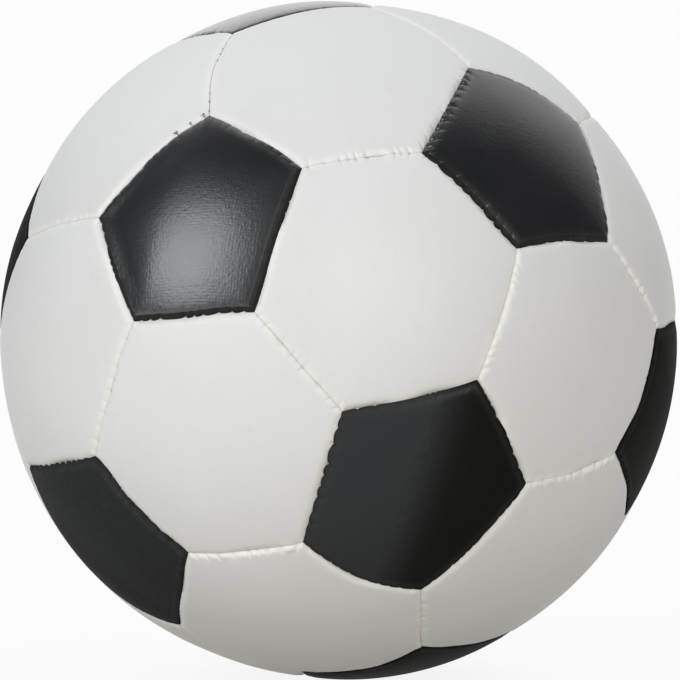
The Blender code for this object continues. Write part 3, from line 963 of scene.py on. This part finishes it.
# Black panels that handling has polished
PANEL_FINISH = {
    "black_pentagon_01": "shiny",
    "black_pentagon_05": "polished",
    "black_pentagon_06": "polished",
}
WHITE_THREAD = dict(name="white_sewing_thread", darker=(0.70, 0.68, 0.63), lighter=(0.80, 0.79, 0.75))
GREY_THREAD = dict(name="grey_sewing_thread", darker=(0.17, 0.17, 0.17), lighter=(0.28, 0.28, 0.27))
THREAD_SHADE = 0.6            # of the darker colour, between the fibres


class Nodes:
    """The nodes of a material or of the sky, built one by one."""

    def __init__(self, tree):
        self.tree = tree

    def node(self, kind, inputs=None, **settings):
        made = self.tree.nodes.new(kind)
        for name, value in settings.items():
            setattr(made, name, value)
        for name, value in (inputs or {}).items():
            self.feed(made.inputs[name], value)
        return made

    def feed(self, socket, value):
        if isinstance(value, bpy.types.NodeSocket):
            self.tree.links.new(value, socket)
        else:
            socket.default_value = value

    def math(self, operation, first, second=0.0):
        made = self.node("ShaderNodeMath", operation=operation)
        self.feed(made.inputs[0], first)
        self.feed(made.inputs[1], second)
        return made.outputs[0]

    def blend(self, share, first, second):
        inputs = {"Factor": share, "A": first, "B": second}
        return self.node("ShaderNodeMix", inputs, data_type="RGBA").outputs["Result"]

    def span(self, value, low, high, new_low, new_high, **settings):
        inputs = {"Value": value, "From Min": low, "From Max": high, "To Min": new_low, "To Max": new_high}
        return self.node("ShaderNodeMapRange", inputs, **settings).outputs["Result"]

    def ray_share(self, kinds):
        """1 for rays of these kinds, and 0 for other rays, such as the light that bounces."""
        path = self.node("ShaderNodeLightPath")
        total = path.outputs[kinds[0]]
        for kind in kinds[1:]:
            total = self.math("MAXIMUM", total, path.outputs[kind])
        return total


class Finish(Nodes):
    """One material."""

    def __init__(self, name):
        self.material = bpy.data.materials.new(name)
        self.material.use_nodes = True
        super().__init__(self.material.node_tree)
        self.shader = self.tree.nodes["Principled BSDF"]

    def shade(self, inputs):
        for name, value in inputs.items():
            self.feed(self.shader.inputs[name], value)
        return self.material

    def attribute(self, name, output="Fac"):
        return self.node("ShaderNodeAttribute", attribute_name=name).outputs[output]

    def object_place(self):
        return self.node("ShaderNodeTexCoord").outputs["Object"]

    def noise(self, place, scale, detail):
        inputs = {"Vector": place, "Scale": scale, "Detail": detail}
        return self.node("ShaderNodeTexNoise", inputs).outputs["Fac"]

    def spread(self, noise, low, high):
        """A noise brought to this range."""
        return self.span(noise, *NOISE_RANGE, low, high)

    def weave(self, place, pitch, waver):
        """A fine woven backing that shows through vinyl, as a height from 0 to 1."""
        drift = self.noise(place, scale=40.0, detail=3.0)
        shift = self.span(drift, 0.0, 1.0, -waver, waver)
        patch = self.noise(place, scale=260.0, detail=3.0)
        axes = self.node("ShaderNodeSeparateXYZ", inputs={"Vector": place})
        turns = 2 * math.pi / pitch
        threads = []
        for axis, shares in WEAVE_SHARES.items():
            along = self.math("ADD", axes.outputs[axis], shift)
            wave = self.math("SINE", self.math("MULTIPLY", along, turns))
            threads.append(self.math("MULTIPLY", wave, self.span(patch, *WEAVE_PATCHES, *shares)))
        return self.math("ADD", self.math("ADD", *threads), WEAVE_MIDDLE)

    def bump(self, height, strength, distance, below=None):
        inputs = {"Height": height, "Strength": strength, "Distance": distance}
        if below is not None:
            inputs["Normal"] = below
        return self.node("ShaderNodeBump", inputs).outputs["Normal"]


def black_vinyl(name, darker, lighter, specular, roughest, weave_strength, pebble_strength, lacquer=0.0):
    finish = Finish(name)
    place = finish.attribute("cloth", "Vector")
    weave = finish.weave(place, pitch=0.00066, waver=0.0020)
    cloud = finish.noise(place, scale=60.0, detail=4.0)
    speck = finish.noise(place, scale=700.0, detail=3.0)
    pebbles = finish.noise(place, scale=1200.0, detail=3.0)
    grain = finish.noise(place, scale=2600.0, detail=2.0)
    colour = finish.blend(finish.spread(cloud, 0.0, 1.0), (*darker, 1), (*lighter, 1))
    # dust, and a painted sheen on one side of the panel
    dust_and_sheen_mask = finish.math("MULTIPLY", finish.attribute("dust_and_sheen"), finish.spread(speck, *DUST_AND_SHEEN_PATCHES))
    colour = finish.blend(dust_and_sheen_mask, colour, BLACK_DUST_AND_SHEEN)
    # a browner edge, with a painted sheen along it
    browned_and_sheen = finish.math("MULTIPLY", finish.attribute("rim"), cloud)
    colour = finish.blend(browned_and_sheen, colour, BLACK_BROWNED_AND_SHEEN)
    # wear, and a painted sheen on the crests between the stitches
    worn_and_sheen = finish.math("MULTIPLY", finish.attribute("fold"), finish.spread(speck, *WEAR_AND_SHEEN_PATCHES))
    colour = finish.blend(worn_and_sheen, colour, BLACK_WORN_AND_SHEEN)
    clouded = finish.spread(cloud, roughest - BLACK_ROUGHNESS_SPREAD, roughest)
    woven = finish.bump(weave, weave_strength, distance=0.00012)
    pebbled = finish.bump(pebbles, pebble_strength, distance=0.00010, below=woven)
    return finish.shade({
        "Base Color": colour,
        "Roughness": finish.math("ADD", clouded, finish.span(weave, 0.0, 1.0, *WEAVE_ROUGHNESS)),
        "Specular IOR Level": specular,
        "IOR": VINYL_IOR,
        "Coat Weight": lacquer,
        "Coat Roughness": LACQUER_ROUGHNESS,
        "Normal": finish.bump(grain, strength=0.18, distance=0.00006, below=pebbled),
    })


def white_vinyl():
    finish = Finish("white_vinyl_skin")
    place = finish.attribute("cloth", "Vector")
    weave = finish.weave(place, pitch=0.00070, waver=0.0020)
    cloud = finish.noise(place, scale=35.0, detail=5.0)
    speck = finish.noise(place, scale=420.0, detail=3.0)
    grain = finish.noise(place, scale=2200.0, detail=2.0)
    colour = finish.blend(finish.spread(cloud, 0.0, 1.0), WHITE_DARKER, WHITE_LIGHTER)
    colour = finish.blend(finish.span(speck, *WHITE_SPECKS), colour, WHITE_SPECK)
    # a creamier edge, brighter as a painted highlight where it catches the light
    fresh = finish.math("MULTIPLY", finish.attribute("rim"), finish.spread(speck, *FRESH_AND_LIT_PATCHES))
    colour = finish.blend(fresh, colour, WHITE_FRESH_AND_LIT)
    # dirt and painted shade in the fold and at the stitch holes
    dirt = finish.math("MULTIPLY", finish.attribute("fold"), finish.spread(speck, *DIRT_AND_SHADE_PATCHES))
    woven = finish.bump(weave, strength=0.06, distance=0.00010)
    return finish.shade({
        "Base Color": finish.blend(dirt, colour, WHITE_DIRT_AND_SHADE),
        "Roughness": finish.spread(cloud, *WHITE_ROUGHNESS),
        "Specular IOR Level": WHITE_SPECULAR,
        "Normal": finish.bump(grain, strength=0.08, distance=0.00006, below=woven),
    })


def sewing_thread(name, darker, lighter):
    finish = Finish(name)
    place = finish.object_place()
    fuzz = finish.noise(place, scale=5200.0, detail=3.0)
    cloud = finish.noise(place, scale=160.0, detail=2.0)
    colour = finish.blend(finish.spread(cloud, 0.0, 1.0), (*darker, 1), (*lighter, 1))
    shaded = [THREAD_SHADE * value for value in darker]
    return finish.shade({
        "Base Color": finish.blend(finish.span(fuzz, *THREAD_FIBRES), colour, (*shaded, 1)),
        "Roughness": finish.spread(fuzz, *THREAD_ROUGHNESS),
        "Specular IOR Level": THREAD_SPECULAR,
        "Normal": finish.bump(fuzz, strength=0.5, distance=0.00008),
    })


def foam_rubber():
    finish = Finish("open_cell_foam")
    place = finish.object_place()
    voronoi = finish.node("ShaderNodeTexVoronoi", inputs={"Vector": place, "Scale": 1100.0})
    cells = voronoi.outputs["Distance"]
    cloud = finish.noise(place, scale=70.0, detail=3.0)
    colour = finish.blend(finish.spread(cloud, 0.0, 1.0), FOAM_DARKER, FOAM_LIGHTER)
    return finish.shade({
        "Base Color": finish.blend(finish.span(cells, *FOAM_PORES), colour, FOAM_CELL),
        "Roughness": finish.span(cells, *PORE_ROUGHNESS),
        "Normal": finish.bump(cells, strength=0.8, distance=0.0004),
    })


# The studio

FLOOR_SIZE = 16.0
FLOOR_DROP = 0.00005
FLOOR_ROUGHNESS = 0.9
FLOOR_WHITE = (0.92, 0.92, 0.92, 1)
FLOOR_WARM = (0.46, 0.42, 0.365, 1)   # of the light that it throws back on the ball
FLOOR_GLOW = 0.88             # how far the picture's floor is lifted to white
# The room is dim, apart from a broad light above and behind, which is white where it is mirrored.
# The picture shows white all round
SKY_DIM = (0.19, 0.19, 0.20, 1)
SKY_LIGHT = (0.52, 0.54, 0.57, 1)
MIRRORED_DIM = (0.07, 0.07, 0.075, 1)
SKY_WHITE = (1.0, 1.0, 1.0, 1)
SKY_WAY = (0.0, 0.81, 0.585)
SKY_EDGE = (0.58, 0.90)       # cosines of the angles from that way at which the light begins, and is full
# Each lamp: where its light comes from (right, away, up), how wide it looks in degrees, strength and colour
LAMPS = {
    "key_light": ((-0.735, -0.51, 0.445), 36.5, 1.26, (0.92, 0.97, 1.0)),
    "front_light": ((0.25, -0.905, 0.345), 36.0, 0.89, (1.0, 0.99, 0.97)),
    "rear_fill": ((-0.10, 0.85, 0.52), 60.0, 0.76, (0.95, 0.98, 1.0)),
    "low_fill": ((-0.27, -0.96, 0.09), 10.0, 0.72, (0.97, 0.99, 1.0)),
    "right_fill": ((0.62, 0.32, 0.72), 80.0, 0.95, (0.93, 0.96, 1.0)),
}
FILLS = {"rear_fill", "low_fill", "right_fill"}   # lamps that brighten the shade and aren't mirrored
LAMP_DISTANCE = 2
CAMERA_RAYS = ("Is Camera Ray",)
MIRRORED_RAYS = ("Is Glossy Ray", "Is Transmission Ray")


def add_floor():
    """A pale floor that the picture shows as white, with the ball's shadow."""
    bpy.ops.mesh.primitive_plane_add(size=FLOOR_SIZE, location=(0, 0, FLOOR_LEVEL - FLOOR_DROP))
    floor = bpy.context.object
    floor.name = "studio_floor"
    finish = Finish("studio_floor_paint")
    seen = finish.ray_share(CAMERA_RAYS + MIRRORED_RAYS)
    finish.shade({
        "Base Color": finish.blend(seen, FLOOR_WARM, FLOOR_WHITE),
        "Roughness": FLOOR_ROUGHNESS,
        "Specular IOR Level": 0.0,
    })
    lifted = finish.node("ShaderNodeMixShader", {"Fac": finish.math("MULTIPLY", seen, FLOOR_GLOW)})
    finish.feed(lifted.inputs[1], finish.shader.outputs["BSDF"])
    finish.feed(lifted.inputs[2], finish.node("ShaderNodeEmission").outputs["Emission"])
    finish.feed(finish.tree.nodes["Material Output"].inputs["Surface"], lifted.outputs["Shader"])
    floor.data.materials.append(finish.material)
    floor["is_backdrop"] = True


def add_sky():
    world = bpy.data.worlds.new("studio_sky")
    bpy.context.scene.world = world
    world.use_nodes = True
    sky = Nodes(world.node_tree)
    towards = sky.node("ShaderNodeVectorMath", operation="DOT_PRODUCT")
    sky.feed(towards.inputs[0], sky.node("ShaderNodeTexCoord").outputs["Generated"])
    sky.feed(towards.inputs[1], Vector(SKY_WAY).normalized())
    share = sky.span(towards.outputs["Value"], *SKY_EDGE, 0.0, 1.0, interpolation_type="SMOOTHSTEP")
    lit = sky.blend(share, SKY_DIM, SKY_LIGHT)
    mirrored = sky.blend(share, MIRRORED_DIM, SKY_WHITE)
    colour = sky.blend(sky.ray_share(MIRRORED_RAYS), lit, mirrored)
    colour = sky.blend(sky.ray_share(CAMERA_RAYS), colour, SKY_WHITE)
    sky.feed(sky.tree.nodes["Background"].inputs["Color"], colour)


def add_lamps():
    for name, (way, width, strength, colour) in LAMPS.items():
        data = bpy.data.lights.new(name, "SUN")
        data.angle = math.radians(width)
        data.energy = strength
        data.color = colour
        lamp = bpy.data.objects.new(name, data)
        lamp.rotation_mode = "QUATERNION"
        lamp.rotation_quaternion = Vector(way).to_track_quat("Z", "Y")
        lamp.location = Vector(way) * LAMP_DISTANCE
        lamp.visible_glossy = name not in FILLS
        bpy.context.scene.collection.objects.link(lamp)


def add_camera():
    ahead = Vector((0, math.cos(CAMERA_ELEVATION), -math.sin(CAMERA_ELEVATION)))
    right = Vector((1, 0, 0))
    upward = right.cross(ahead)
    data = bpy.data.cameras.new("camera")
    in_radii = CAMERA_DISTANCE / BALL_RADIUS
    focal_pixels = BALL_RADIUS_PIXELS * math.sqrt(in_radii ** 2 - 1)
    data.lens = focal_pixels * data.sensor_width / IMAGE_SIZE
    data.clip_end = CAMERA_REACH
    metres_per_pixel = CAMERA_DISTANCE / focal_pixels
    off_right = (IMAGE_SIZE / 2 - BALL_CENTRE_PIXEL[0]) * metres_per_pixel
    off_up = (BALL_CENTRE_PIXEL[1] - IMAGE_SIZE / 2) * metres_per_pixel
    camera = bpy.data.objects.new("camera", data)
    camera.location = -ahead * CAMERA_DISTANCE + right * off_right + upward * off_up
    camera.rotation_mode = "QUATERNION"
    camera.rotation_quaternion = ahead.to_track_quat("-Z", "Y")
    bpy.context.scene.collection.objects.link(camera)
    bpy.context.scene.camera = camera


def write_sizes():
    boxes = {"cad": cad_box, "visual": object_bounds()}
    plain = {name: [list(corner) for corner in box] for name, box in boxes.items()}


def main():
    materials = {finish: black_vinyl(**settings) for finish, settings in BLACK_FINISHES.items()}
    materials["white"] = white_vinyl()
    cage, seams, panels = lay_out()
    for number, (name, sides) in enumerate(panels.items()):
        add_panel(number, name, sides, materials)
    white_thread = sewing_thread(**WHITE_THREAD)
    grey_thread = sewing_thread(**GREY_THREAD)
    for name in THREADS:
        thread = grey_thread if name == "closing_thread" else white_thread
        add_stitches(name, [seam for seam in seams if seam.thread == name], thread)
    add_foam(cage, foam_rubber())
    cage.free()
    add_floor()
    add_sky()
    add_lamps()
    add_camera()
    bpy.context.scene.view_settings.view_transform = "Standard"
    write_sizes()


main()
